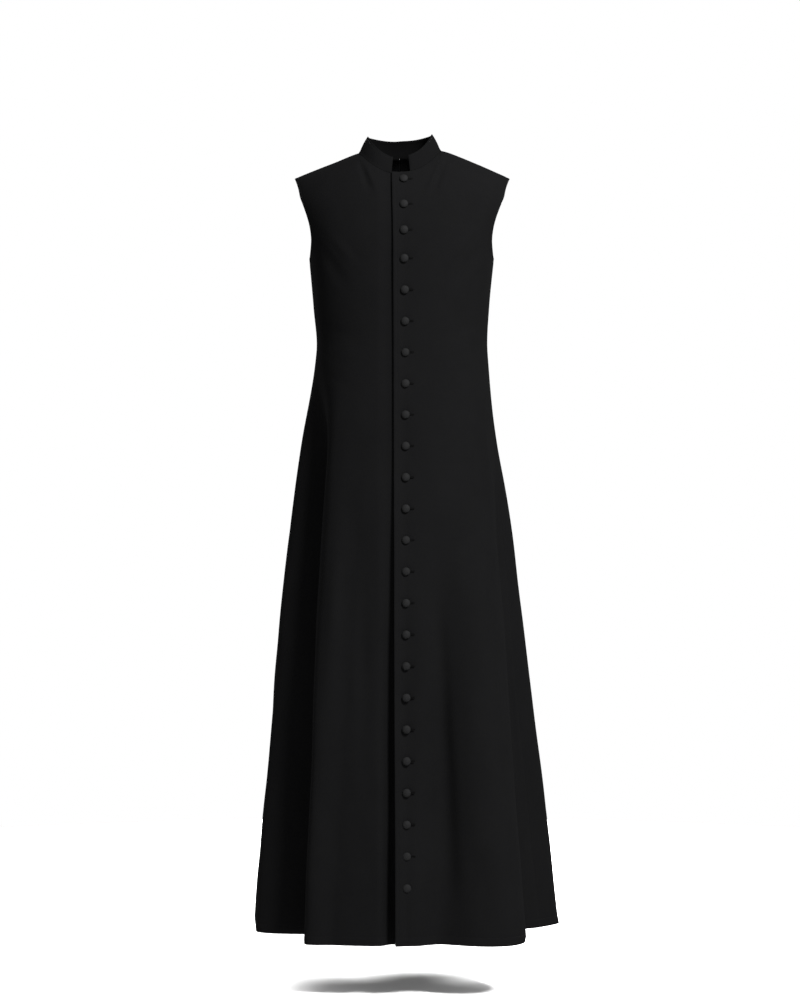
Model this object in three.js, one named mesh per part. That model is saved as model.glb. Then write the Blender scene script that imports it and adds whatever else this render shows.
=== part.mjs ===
// Sleeveless clergy robe: a worn, ankle-length black cassock without sleeves, held up at its shoulders.
// Millimetres. +X is the wearer's left, -Y the front and +Z up. The origin lies midway between the
// two points where the neck meets the shoulder seams.
import * as THREE from 'three';

// ---- Driving dimensions ---------------------------------------------------------------------------
const cloth = 2;                    // thickness of the cloth wall
const seamGap = 0.4;                // between neighbouring pieces, at the shoulder, side and back seams
const hemZ = -1428;
const underarmZ = -200;

// Plan of the body at each height: half-widths to the wearer's right and left, depths to the front and
// back, and how square the outline is (2 is an ellipse).
const levels = [
  { z: -200, right: 166, left: 172, front: 122, back: 112, square: 2.4 },
  { z: -290, right: 158, left: 163, front: 117, back: 104, square: 2.35 },
  { z: -370, right: 153, left: 160, front: 115, back: 103, square: 2.3 },
  { z: -534, right: 180, left: 180, front: 126, back: 124, square: 2.3 },
  { z: -666, right: 198, left: 200, front: 137, back: 146, square: 2.3 },
  { z: -819, right: 214, left: 219, front: 148, back: 168, square: 2.3 },
  { z: -995, right: 230, left: 238, front: 158, back: 189, square: 2.3 },
  { z: -1171, right: 245, left: 257, front: 167, back: 208, square: 2.3 },
  { z: -1346, right: 258, left: 273, front: 175, back: 224, square: 2.3 },
  { z: -1428, right: 264, left: 281, front: 179, back: 230, square: 2.3 },
];

// Folds of the skirt: where each one starts (height and angle), its angle at the hem, how far it stands
// out (+) or falls in (-) at the hem, and its half-width there in degrees.
const folds = [
  { top: -480, topAngle: -38, hemAngle: -26, depth: 25, spread: 18 },
  { top: -440, topAngle: -75, hemAngle: -69, depth: -78, spread: 33 },
  { top: -700, topAngle: -94, hemAngle: -100, depth: 12, spread: 17 },
  { top: -640, topAngle: 18, hemAngle: 13, depth: -14, spread: 11 },
  { top: -760, topAngle: 36, hemAngle: 27, depth: 29, spread: 19 },
  { top: -440, topAngle: 84, hemAngle: 77, depth: -58, spread: 34 },
  { top: -560, topAngle: 102, hemAngle: 108, depth: 36, spread: 22 },
  { top: -470, topAngle: 126, hemAngle: 131, depth: -38, spread: 17 },
  { top: -420, topAngle: 150, hemAngle: 152, depth: 14, spread: 15 },
  { top: -520, topAngle: 171, hemAngle: 173, depth: -27, spread: 14 },
  { top: -450, topAngle: 193, hemAngle: 195, depth: 13, spread: 15 },
  { top: -430, topAngle: 216, hemAngle: 217, depth: -35, spread: 17 },
  { top: -600, topAngle: 238, hemAngle: 240, depth: 16, spread: 16 },
];

// Shoulders and armholes
const shoulder = {
  rightX: 193, leftX: 201, tipZ: -52, neckX: 75, neckZ: 3, rightCurve: 0.8, leftCurve: 1.08, softness: 0.2,
};
const armhole = { frontReach: 35, backReach: 28, roundness: 0.3 };   // degrees cut from the side, unrounded
const chestCurve = 0.91;            // exponents of the curve from the chest over the shoulder
const backCurve = 0.62;

// Neck opening and stand collar
const neck = { front: 87, back: 62 };
const collar = { height: 34, lean: 27, standOff: 0.5, rightEnd: -15.5, leftEnd: 17.7 };

// Centre front: the wearer's left front laps over the right one
const lap = { topX: -13, hemX: -8.5, under: 15, sink: 2.8, sinkStart: -42, sinkEnd: -20 };
const fallBack = { top: -560, depth: 26, start: -36, end: -14 };      // of the under front, to the hem

// Covered buttons, spaced from the top one down
const button = { radius: 7.5, thickness: 5.2, sides: 12, seat: 0.3 };
const buttonRows = { topZ: -63, upperGap: 47, upperCount: 3, gapGrowth: 51, lowerGap: 55.9, count: 24 };
const buttonLine = { topX: 5, waistX: 9.5, hemX: 12.5, waistZ: -340 };

// Mesh spacing: columns across a piece, rows down it
const columns = { frontNotch: 2, frontNeck: 5, backNeck: 6, shoulder: 17 };
const rowsOver = { count: 9, crowding: 1.6 };
const rowsBody = [
  -245, -290, -330, -370, -410, -460, -530, -610, -700, -800, -905, -1015, -1125, -1235, -1335, hemZ,
];

// ---- Helpers --------------------------------------------------------------------------------------
const { clamp, degToRad, lerp, smoothstep } = THREE.MathUtils;

function sine(degrees) {
  return Math.sin(degToRad(degrees));
}

function cosine(degrees) {
  return Math.cos(degToRad(degrees));
}

function signedPower(value, exponent) {
  return Math.sign(value) * Math.abs(value) ** exponent;
}

// The place between two numbers where a condition that holds at the low one stops holding
function crossing(low, high, holds) {
  let [from, to] = [low, high];
  for (let i = 0; i < 40; i += 1) {
    const middle = (from + to) / 2;
    if (holds(middle)) from = middle;
    else to = middle;
  }
  return to;
}

// One smooth curve through a column of the table of levels
function levelAt(z, column) {
  const last = levels.length - 1;
  let i = levels.findIndex((level) => level.z <= z) - 1;
  i = i < -1 ? last - 1 : Math.max(i, 0);
  const [a, b] = [levels[i], levels[i + 1]];
  const before = levels[Math.max(i - 1, 0)];
  const after = levels[Math.min(i + 2, last)];
  const t = clamp((z - a.z) / (b.z - a.z), 0, 1);
  const span = b.z - a.z;
  const slopeA = span * (b[column] - before[column]) / (b.z - before.z);
  const slopeB = span * (after[column] - a[column]) / (after.z - a.z);
  const [t2, t3] = [t * t, t * t * t];
  return (2 * t3 - 3 * t2 + 1) * a[column] + (t3 - 2 * t2 + t) * slopeA
    + (3 * t2 - 2 * t3) * b[column] + (t3 - t2) * slopeB;
}

// ---- The surface that every piece is cut from -----------------------------------------------------
// An angle of 0 is the centre front, 90 the wearer's left, -90 the right and 180 the centre back.
function planPoint(angle, z) {
  const half = levelAt(z, sine(angle) < 0 ? 'right' : 'left');
  const depth = levelAt(z, cosine(angle) > 0 ? 'front' : 'back');
  const power = 2 / levelAt(z, 'square');
  return [half * signedPower(sine(angle), power), -depth * signedPower(cosine(angle), power)];
}

function foldOffset(angle, z) {
  let offset = 0;
  for (const fold of folds) {
    const grown = clamp((fold.top - z) / (fold.top - hemZ), 0, 1);
    const centre = lerp(fold.topAngle, fold.hemAngle, grown);
    const away = Math.abs((((angle - centre) % 360) + 540) % 360 - 180) / fold.spread;
    if (away < 1) offset += fold.depth * grown * cosine(90 * away) ** 2;
  }
  return offset;
}

// Below the underarms: the plan with the folds added outwards from the middle
function skirtPoint(angle, z) {
  const [x, y] = planPoint(angle, z);
  const grow = 1 + foldOffset(angle, z) / Math.hypot(x, y);
  return new THREE.Vector3(x * grow, y * grow, z);
}

function shoulderHeight(x) {
  const tipX = x < 0 ? shoulder.rightX : shoulder.leftX;
  const curve = x < 0 ? shoulder.rightCurve : shoulder.leftCurve;
  const out = (Math.abs(x) - shoulder.neckX) / (tipX - shoulder.neckX);
  const slope = (out + Math.hypot(out, shoulder.softness)) / 2;
  return lerp(shoulder.neckZ, shoulder.tipZ, slope ** curve);
}

// Above the underarms: 'over' runs from 0 at the underarm level to 90 at the shoulder seam
function shoulderPoint(angle, over) {
  const [planX, planY] = planPoint(angle, underarmZ);
  const isRight = planX < 0;
  const tip = isRight ? shoulder.rightX / levels[0].right : shoulder.leftX / levels[0].left;
  const x = planX * lerp(1, tip, smoothstep(over, -6, 45));
  const curve = planY < 0 ? chestCurve : backCurve;
  const y = planY * Math.abs(cosine(over)) ** curve;
  const z = lerp(underarmZ, shoulderHeight(x), Math.abs(sine(over)) ** curve);
  return new THREE.Vector3(x, y, z);
}

// Outward normal, from small steps to either side of a place on one of the two surfaces
function surfaceNormal(surface, angle, height) {
  const step = 0.05;
  const acrossA = surface(angle - step, height);
  const across = surface(angle + step, height).sub(acrossA);
  const upA = surface(angle, height - step);
  const up = surface(angle, height + step).sub(upA);
  return across.cross(up).normalize();
}

// ---- Places on a piece ----------------------------------------------------------------------------
// The angle at which the surface has a given X, near the centre front
function angleAtX(x, z) {
  const half = levelAt(z, x < 0 ? 'right' : 'left');
  const power = levelAt(z, 'square') / 2;
  return Math.sign(x) * THREE.MathUtils.radToDeg(Math.asin((Math.abs(x) / half) ** power));
}

function lapX(z) {
  return lerp(lap.topX, lap.hemX, clamp(z / hemZ, 0, 1));
}

// The part of an armhole's reach that is cut away at an angle over the shoulder: round at the underarm
function armholeCut(over) {
  return Math.abs(sine(over)) ** armhole.roundness * cosine(over);
}

// The pieces cut from the surface. Column 0 is the edge at the centre front or back and column 1 the
// side seam; 'edges' are their angles.
const pieces = {
  front_left: {
    middle: 0,
    edges: (z) => [angleAtX(lapX(z), z), 90],
    reach: armhole.frontReach,
    collarEnd: collar.leftEnd,
    counts: [columns.frontNotch, columns.frontNeck, columns.shoulder],
    shift: [0, -seamGap / 2],
    sink: () => 0,
    colour: 0x1c1c1e,
  },
  front_right: {
    middle: 0,
    edges: (z) => [angleAtX(lap.under, z), -90],
    reach: -armhole.frontReach,
    collarEnd: collar.rightEnd,
    counts: [columns.frontNotch, columns.frontNeck, columns.shoulder],
    shift: [0, -seamGap / 2],
    sink: (x, z) => lap.sink * smoothstep(x, lap.sinkStart, lap.sinkEnd)
      + fallBack.depth * clamp((fallBack.top - z) / (fallBack.top - hemZ), 0, 1)
      * smoothstep(x, fallBack.start, fallBack.end),
    colour: 0x19191b,
  },
  back_left: {
    middle: 180,
    edges: () => [180, 90],
    reach: -armhole.backReach,
    counts: [0, columns.backNeck, columns.shoulder],
    shift: [seamGap / 2, seamGap / 2],
    sink: () => 0,
    colour: 0x1b1b1d,
  },
  back_right: {
    middle: 180,
    edges: () => [180, 270],
    reach: armhole.backReach,
    counts: [0, columns.backNeck, columns.shoulder],
    shift: [-seamGap / 2, seamGap / 2],
    sink: () => 0,
    colour: 0x1a1a1c,
  },
};

function angleOn(piece, column, z, over) {
  const [start, end] = piece.edges(z);
  return lerp(start, end, column) - piece.reach * armholeCut(over) * column ** 3;
}

// Outer and inner point of the cloth at a column of a piece
function wallPoints(piece, column, z, over) {
  const angle = angleOn(piece, column, z, over);
  const onBody = over <= 0;
  const outer = onBody ? skirtPoint(angle, z) : shoulderPoint(angle, over);
  const steady = clamp(angle, piece.middle - 88, piece.middle + 88);
  const normal = onBody
    ? surfaceNormal(skirtPoint, angle, z)
    : surfaceNormal(shoulderPoint, steady, clamp(over, 1, 88));
  if (over === 90) normal.setY(0).normalize();
  outer.addScaledVector(normal, -piece.sink(outer.x, outer.z));
  outer.x += piece.shift[0];
  outer.y += piece.shift[1];
  return { outer, inner: outer.clone().addScaledVector(normal, -cloth) };
}

// How far over the shoulder a column reaches: to the seam, or to the ring of the neck opening
function topOfColumn(piece, column) {
  const depth = piece.middle === 180 ? neck.back : neck.front;
  const outsideNeck = (over) => {
    const point = shoulderPoint(angleOn(piece, column, underarmZ, over), over);
    return (point.x / shoulder.neckX) ** 2 + (point.y / depth) ** 2 >= 1;
  };
  return outsideNeck(90) ? 90 : crossing(0, 90, outsideNeck);
}

function topPoint(piece, column) {
  return wallPoints(piece, column, 0, topOfColumn(piece, column)).outer;
}

// The columns between which the spacing changes: the collar's end and the neck corner
function columnMarks(piece) {
  const corner = crossing(0, 0.5, (column) => {
    const point = shoulderPoint(angleOn(piece, column, underarmZ, 90), 90);
    return Math.abs(point.x) < shoulder.neckX;
  });
  if (!piece.collarEnd) return [0, 0, corner, 1];
  const side = Math.sign(piece.collarEnd);
  const end = crossing(0, corner, (column) => topPoint(piece, column).x * side < piece.collarEnd * side);
  return [0, end, corner, 1];
}

// Columns of a piece: even over the shoulder, crowded towards the neck corner under the collar
function columnPlaces(piece) {
  const marks = columnMarks(piece);
  const places = [0];
  piece.counts.forEach((count, i) => {
    for (let k = 1; k <= count; k += 1) {
      const share = i === 1 ? sine(90 * k / count) : k / count;
      places.push(lerp(marks[i], marks[i + 1], share));
    }
  });
  return places;
}

// ---- Meshes ---------------------------------------------------------------------------------------
// A closed wall from a grid of outer and inner points: grid[row][column]
function wallGeometry(grid) {
  const rows = grid.length;
  const across = grid[0].length;
  const corner = grid[0][0];
  const facing = grid[0][1].outer.clone().sub(corner.outer)
    .cross(grid[1][0].outer.clone().sub(corner.outer));
  const flip = facing.dot(corner.outer.clone().sub(corner.inner)) < 0;
  const positions = [];
  for (const side of ['outer', 'inner']) {
    for (const row of grid) {
      for (const place of row) positions.push(...place[side].toArray());
    }
  }
  const at = (side, row, column) => side * rows * across + row * across + column;
  const faces = [];
  const quad = (a, b, c, d) => {
    if (flip) faces.push(a, c, b, a, d, c);
    else faces.push(a, b, c, a, c, d);
  };
  for (let r = 0; r < rows - 1; r += 1) {
    for (let c = 0; c < across - 1; c += 1) {
      quad(at(0, r, c), at(0, r, c + 1), at(0, r + 1, c + 1), at(0, r + 1, c));
      quad(at(1, r, c), at(1, r + 1, c), at(1, r + 1, c + 1), at(1, r, c + 1));
    }
    quad(at(0, r, 0), at(0, r + 1, 0), at(1, r + 1, 0), at(1, r, 0));
    quad(at(0, r, across - 1), at(1, r, across - 1), at(1, r + 1, across - 1), at(0, r + 1, across - 1));
  }
  for (let c = 0; c < across - 1; c += 1) {
    quad(at(0, 0, c), at(1, 0, c), at(1, 0, c + 1), at(0, 0, c + 1));
    quad(at(0, rows - 1, c), at(0, rows - 1, c + 1), at(1, rows - 1, c + 1), at(1, rows - 1, c));
  }
  const geometry = new THREE.BufferGeometry();
  geometry.setAttribute('position', new THREE.Float32BufferAttribute(positions, 3));
  geometry.setIndex(faces);
  geometry.computeVertexNormals();
  return geometry;
}

function clothMesh(name, geometry, colour) {
  const material = new THREE.MeshStandardMaterial({ color: colour, roughness: 0.85, metalness: 0 });
  const mesh = new THREE.Mesh(geometry, material);
  mesh.name = name;
  return mesh;
}

// A front or back: rows from the hem up to the underarm, then over the shoulder
function panelMesh(name) {
  const piece = pieces[name];
  const places = columnPlaces(piece);
  const tops = places.map((column) => topOfColumn(piece, column));
  const grid = [...rowsBody].reverse().map((z) => places.map((column) => wallPoints(piece, column, z, 0)));
  grid.push(places.map((column) => wallPoints(piece, column, underarmZ, 0)));
  for (let k = 1; k <= rowsOver.count; k += 1) {
    const share = (k / rowsOver.count) ** rowsOver.crowding;
    grid.push(places.map((column, i) => {
      const over = tops[i] * share;
      return wallPoints(piece, column, lerp(underarmZ, 0, share), over);
    }));
  }
  return clothMesh(name, wallGeometry(grid), piece.colour);
}

// The stand collar: one band round the neck, open at the front
function collarMesh() {
  const underNeck = (piece) => {
    const first = piece.counts[0];
    return columnPlaces(piece).slice(first, first + piece.counts[1] + 1)
      .map((column) => topPoint(piece, column));
  };
  const neckline = [
    ...underNeck(pieces.front_left),
    ...underNeck(pieces.back_left).slice(1, -1).reverse(),
    ...underNeck(pieces.back_right).slice(0, -1),
    ...underNeck(pieces.front_right).reverse(),
  ];
  const grid = [0, 0.5, 1].map((share) => neckline.map((point) => {
    const inward = new THREE.Vector3(-point.x, -point.y, 0).normalize();
    const rise = new THREE.Vector3(0, 0, cosine(collar.lean)).addScaledVector(inward, sine(collar.lean));
    const normal = new THREE.Vector3(0, 0, sine(collar.lean)).addScaledVector(inward, -cosine(collar.lean));
    const outer = point.clone().addScaledVector(rise, collar.standOff + collar.height * share);
    return { outer, inner: outer.clone().addScaledVector(normal, -cloth) };
  }));
  return clothMesh('collar', wallGeometry(grid), 0x1d1d1f);
}

// A cloth-covered domed button, its flat back towards the robe
function buttonGeometry() {
  const { radius, thickness, sides } = button;
  const profile = [
    [0, 0], [radius * 0.96, 0], [radius, thickness * 0.3], [radius * 0.72, thickness * 0.8], [0, thickness],
  ].map(([r, h]) => new THREE.Vector2(r, h));
  return new THREE.LatheGeometry(profile, sides);
}

function buttonX(z) {
  if (z > buttonLine.waistZ) return lerp(buttonLine.topX, buttonLine.waistX, z / buttonLine.waistZ);
  const down = (z - buttonLine.waistZ) / (hemZ - buttonLine.waistZ);
  return lerp(buttonLine.waistX, buttonLine.hemX, down);
}

function buttonMeshes() {
  const { topZ, upperGap, upperCount, gapGrowth, lowerGap, count } = buttonRows;
  const meshes = [];
  let z = topZ;
  for (let i = 0; i < count; i += 1) {
    if (i > 0) z -= i < upperCount ? upperGap : (i === upperCount ? gapGrowth : lowerGap);
    meshes.push(buttonMesh(i, z));
  }
  return meshes;
}

function buttonMesh(index, z) {
  const angle = angleAtX(buttonX(z), z);
  const onBody = z <= underarmZ;
  const over = onBody ? 0 : crossing(0, 90, (tried) => shoulderPoint(angle, tried).z < z);
  const place = onBody ? skirtPoint(angle, z) : shoulderPoint(angle, over);
  const normal = onBody
    ? surfaceNormal(skirtPoint, angle, z)
    : surfaceNormal(shoulderPoint, angle, clamp(over, 1, 88));
  place.y += pieces.front_left.shift[1];
  place.addScaledVector(normal, button.seat);
  const mesh = clothMesh(`button_${String(index + 1).padStart(2, '0')}`, buttonGeometry(), 0x2c2c2f);
  mesh.position.copy(place);
  mesh.quaternion.setFromUnitVectors(new THREE.Vector3(0, 1, 0), normal);
  return mesh;
}

// ---- The robe -------------------------------------------------------------------------------------
const robe = new THREE.Group();
robe.name = 'sleeveless_clergy_robe';
for (const name of Object.keys(pieces)) robe.add(panelMesh(name));
robe.add(collarMesh());
for (const mesh of buttonMeshes()) robe.add(mesh);

export default robe;
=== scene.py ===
import math

import bmesh
import bpy
import numpy as np
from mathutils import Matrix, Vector
from mathutils.kdtree import KDTree


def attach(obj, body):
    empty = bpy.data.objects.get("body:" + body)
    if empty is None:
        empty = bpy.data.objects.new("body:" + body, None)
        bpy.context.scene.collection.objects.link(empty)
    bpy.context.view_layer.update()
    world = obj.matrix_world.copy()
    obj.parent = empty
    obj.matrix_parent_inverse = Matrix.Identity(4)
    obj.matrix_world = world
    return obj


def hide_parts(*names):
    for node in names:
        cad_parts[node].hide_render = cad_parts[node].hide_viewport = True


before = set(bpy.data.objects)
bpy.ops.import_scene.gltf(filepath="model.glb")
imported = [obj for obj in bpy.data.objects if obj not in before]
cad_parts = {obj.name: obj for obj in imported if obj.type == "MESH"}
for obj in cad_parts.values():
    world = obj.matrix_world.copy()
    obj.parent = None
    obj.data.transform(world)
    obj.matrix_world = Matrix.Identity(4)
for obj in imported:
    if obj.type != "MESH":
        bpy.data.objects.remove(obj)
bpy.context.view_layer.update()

# Sleeveless clergy robe, worn. Tables and sizes are in millimetres; objects are made in metres.
# +X is the wearer's left, -Y the front and +Z up. Angles are degrees: 0 is the centre front, 90 the
# wearer's left, -90 the right and 180 the centre back.
MM = 0.001

# ---- The robe's form ----
HEM_Z = -1428
UNDERARM_Z = -200

# Plan of the body at each height: half-widths, depths, and how square the outline is
LEVEL_NAMES = ["z", "right", "left", "front", "back", "square"]
LEVELS = np.array([
    [-200, 166, 172, 122, 112, 2.4],
    [-290, 158, 163, 117, 104, 2.35],
    [-370, 153, 160, 115, 103, 2.3],
    [-534, 180, 180, 126, 124, 2.3],
    [-666, 198, 200, 137, 146, 2.3],
    [-819, 214, 219, 148, 168, 2.3],
    [-995, 230, 238, 158, 189, 2.3],
    [-1171, 245, 257, 167, 208, 2.3],
    [-1346, 258, 273, 175, 224, 2.3],
    [-1428, 264, 281, 179, 230, 2.3],
])

# Large folds: height and angle where each starts, its angle and depth at the hem, its half-widths
# towards lower and higher angles, and the share of its depth that it has near its top
FOLD_NAMES = ["top", "top_angle", "hem_angle", "depth", "low_spread", "high_spread", "early"]
FOLDS = [
    [-500, -29.5, -35, 21, 13, 12, 0.06],
    [-370, -72.5, -60.5, -87, 21, 34, 0.46],
    [-525, -101.5, -106.5, 11, 17, 17, 0.13],
    [-640, 18, 13, -17, 11, 11, 0],
    [-690, 33, 32, 36, 20, 24, 0.47],
    [-360, 85.5, 78.5, -80, 34, 21, 0],
    [-430, 100, 98, 16.5, 22, 22, 0.14],
    [-470, 126, 131, -38, 17, 17, 0.1],
    [-420, 150, 152, 14, 15, 15, 0.1],
    [-460, 171, 173, -27, 14, 14, 0.1],
    [-430, 193, 195, 13, 15, 15, 0.1],
    [-410, 216, 217, -35, 17, 17, 0.1],
    [-560, 238, 240, 16, 16, 16, 0],
]
FOLD_ONSET = 0.2            # share of a fold's length in which it forms

# Small creases: where each runs on its side of the robe (X, Z to X, Z), half-width and height
CREASE_NAMES = ["side", "x0", "z0", "x1", "z1", "width", "height"]
CREASES = [
    ["front", 84, -22, 58, -92, 11, -2.6],
    ["front", 72, -30, 46, -96, 8, 1.3],
    ["front", -76, -22, -52, -92, 11, -2.4],
    ["front", -62, -30, -38, -96, 9, 1.0],
    ["front", 150, -175, 92, -262, 20, -1.9],
    ["front", 138, -150, 74, -228, 16, 1.2],
    ["front", -146, -180, -88, -270, 20, -1.8],
    ["front", -134, -152, -70, -232, 16, 1.1],
    ["front", 152, -318, 60, -352, 17, -0.85],
    ["front", 154, -352, 52, -382, 15, 0.65],
    ["front", 150, -392, 70, -430, 18, -0.7],
    ["front", -148, -326, -62, -356, 17, -0.75],
    ["front", -150, -362, -50, -388, 15, 0.6],
    ["front", -150, -404, -66, -448, 18, -0.75],
    ["front", 178, -560, 186, -860, 13, -2.4],
    ["front", 196, -880, 214, -1180, 15, -2.2],
    ["front", -112, -700, -126, -1040, 20, 2.2],
    ["front", -66, -760, -62, -1180, 22, -2.2],
    ["front", 70, -840, 90, -1424, 27, -7.5],
    ["front", 173, -600, 216, -1424, 9, 1.3],
    ["front", -133, -590, -166, -1424, 8, 1.3],
    ["back", 96, -60, 60, -140, 22, -1.8],
    ["back", -92, -60, -58, -140, 22, -1.8],
    ["back", 0, -38, 4, -170, 30, -1.3],
    ["back", 142, -170, 84, -250, 21, -2.0],
    ["back", -140, -172, -80, -256, 21, -2.0],
    ["back", 148, -322, 40, -358, 18, -1.8],
    ["back", -146, -316, -36, -352, 18, -1.7],
    ["back", 146, -372, 26, -404, 17, 1.5],
    ["back", -144, -378, -30, -410, 17, 1.4],
    ["back", 120, -640, 132, -1080, 22, -2.4],
    ["back", -122, -620, -138, -1040, 22, -2.3],
    ["back", 58, -820, 66, -1300, 20, 2.2],
    ["back", -52, -780, -64, -1260, 20, 2.1],
]

SHOULDER = dict(right_x=193, left_x=201, tip_z=-52, neck_x=75, neck_z=3,
                right_curve=0.8, left_curve=1.08, softness=0.2, spread_over=45)
UNDERARM_EASE = dict(slope=0.00055, fade=30)
ARMHOLE = dict(front_reach=35, back_reach=28, roundness=0.3)
CHEST_CURVE = 0.91
BACK_CURVE = 0.62
NECK = dict(front=87, back=62, square=2.5)
COLLAR = dict(height=34, lean=27, stand_off=0.5, sunk=0.15, right_end=-15.5, left_end=17.7,
              thickness=2.4, swell=0.9, step=2.2, evenings=30)
LAP = dict(top_x=-13, hem_x=-8.5, under=15, sink=2.8, sink_start=-42, sink_end=-20)
HEM_RISE = dict(height=7, front_y=-120, side_y=40, top_z=-1240)     # the hem is higher at the sides
LAP_LIFT = dict(top=1.4, hem=4.5, flat=1.5, fade=22)    # the lap's edge stands off the under front
FALL_BACK = dict(top=-560, depth=26, start=-36, end=-14)
BUTTON = dict(radius=7.5, thickness=5.2, sides=32, gathers=14, gather_height=0.07)
BUTTON_ROWS = dict(top_z=-63, upper_gap=47, upper_count=3, middle_gap=51, lower_gap=55.9, count=24)
BUTTON_LINE = dict(top_x=5, waist_x=9.5, hem_x=12.5, waist_z=-340)
SEAM_GAP = -0.04            # the pieces just meet, at the shoulder, side and back seams
AT_SEAM = 89.99             # degrees over the shoulder from which a point lies on its seam
STEADY = 88                 # degrees up to which the shoulder's normals are taken from its curve

# Unevenness of worn cloth: the length and the height of its waves
WAVE_NAMES = ["length", "height"]
WAVES = [[230, 1.1], [160, 0.8], [115, 0.55], [83, 0.4], [61, 0.26], [47, 0.17]]
UNEVEN = dict(seed=11, sets=2, tilt=0.35, on_chest=0.38, on_skirt=0.85, waist_z=-380, hip_z=-700)
CREASE_ENDS = dict(first_width=0.7, last_width=1.1, slope=2, least=0.15)

# What each button does to the lap: a dent, a parted buttonhole and a pull from the lap's edge
DENT = dict(depth=1.3, radius=9.0)
PARTED = dict(depth=0.7, half_height=1.6, start=(1, 4), end=(14, 16.5))
PULL = dict(depth=0.35, half_height=6.5, slope=0.12, level_x=-16, start=(3, 12))

# Sewing: the cloth's thickness, distances from an edge to its stitches, and the stitches' own sizes
CLOTH = 1.2
TURNED = 2.0                # thickness where an edge is turned under
TURNING = (13, 15)          # where the turning of an open edge ends
SEAM_TURNING = (10, 12)     # where the turning of a seam ends
SEAM_ROUND = 0.5            # width of the rounding beside a seam
SEAM_SINK = dict(depth=0.5, width=2.2)
CALM_EDGE = dict(share=0.25, width=14)      # creases are held down beside an edge
FLAT_EDGE = (-0.1, 1.4)
EDGE_STITCH = 7
ARMHOLE_STITCH = 6
HEM_STITCH = 15
COLLAR_STITCH = 4
HEM_PUCKER = dict(stitch=HEM_STITCH, depth=0.25, width=1.1, puff=0.22)
ARMHOLE_PUCKER = dict(stitch=ARMHOLE_STITCH, depth=0.25, width=1.0, puff=0.2)
EDGE_PUCKER = dict(stitch=EDGE_STITCH, depth=0.3, width=0.9, puff=0.35)
COLLAR_PUCKER = dict(stitch=COLLAR_STITCH, depth=0.28, width=0.9, puff=0)
STITCH = dict(length=2.4, pitch=3.1, radius=0.21, lift=0.12, sides=6)
BUTTONHOLE = dict(length=18, start=-3.0, width=2.3, thread=0.34, depth=0.4, turns=76, sides=6)


def smoothstep(x, low, high):
    t = np.clip((x - low) / (high - low), 0, 1)
    return t * t * (3 - 2 * t)


def lerp(a, b, t):
    return a + (b - a) * t


def signed_power(value, exponent):
    return np.sign(value) * np.abs(value) ** exponent


def sine(degrees):
    return np.sin(np.radians(degrees))


def cosine(degrees):
    return np.cos(np.radians(degrees))


def level_at(z, name):
    """One smooth curve through a column of the table of levels."""
    heights, values = LEVELS[:, 0], LEVELS[:, LEVEL_NAMES.index(name)]
    last = len(heights) - 1
    z = np.asarray(z, float)
    i = np.clip(np.searchsorted(-heights, -z, side="left") - 1, 0, last - 1)
    before, after = np.maximum(i - 1, 0), np.minimum(i + 2, last)
    span = heights[i + 1] - heights[i]
    t = np.clip((z - heights[i]) / span, 0, 1)
    slope_a = span * (values[i + 1] - values[before]) / (heights[i + 1] - heights[before])
    slope_b = span * (values[after] - values[i]) / (heights[after] - heights[i])
    return ((2 * t**3 - 3 * t**2 + 1) * values[i] + (t**3 - 2 * t**2 + t) * slope_a
            + (3 * t**2 - 2 * t**3) * values[i + 1] + (t**3 - t**2) * slope_b)


def plan_point(angle, z):
    half = np.where(sine(angle) < 0, level_at(z, "right"), level_at(z, "left"))
    depth = np.where(cosine(angle) > 0, level_at(z, "front"), level_at(z, "back"))
    power = 2 / level_at(z, "square")
    return half * signed_power(sine(angle), power), -depth * signed_power(cosine(angle), power)


def fold_offset(angle, z):
    offset = 0
    for row in FOLDS:
        fold = dict(zip(FOLD_NAMES, row))
        down = np.clip((fold["top"] - z) / (fold["top"] - HEM_Z), 0, 1)
        grown = smoothstep(down, 0, FOLD_ONSET) * lerp(fold["early"], 1, down)
        past = (angle - lerp(fold["top_angle"], fold["hem_angle"], down) + 180) % 360 - 180
        away = np.abs(past) / np.where(past < 0, fold["low_spread"], fold["high_spread"])
        offset = offset + np.where(away < 1, fold["depth"] * grown * cosine(90 * away) ** 2, 0)
    return offset


def skirt_point(angle, z):
    """Below the underarms: the plan with the folds added outwards from the middle."""
    x, y = plan_point(angle, z)
    grow = 1 + fold_offset(angle, z) / np.hypot(x, y)
    return np.stack([x * grow, y * grow, z + 0 * x], -1)


def shoulder_height(x):
    tip = np.where(x < 0, SHOULDER["right_x"], SHOULDER["left_x"])
    curve = np.where(x < 0, SHOULDER["right_curve"], SHOULDER["left_curve"])
    out = (np.abs(x) - SHOULDER["neck_x"]) / (tip - SHOULDER["neck_x"])
    slope = (out + np.hypot(out, SHOULDER["softness"])) / 2
    return lerp(SHOULDER["neck_z"], SHOULDER["tip_z"], slope ** curve)


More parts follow.
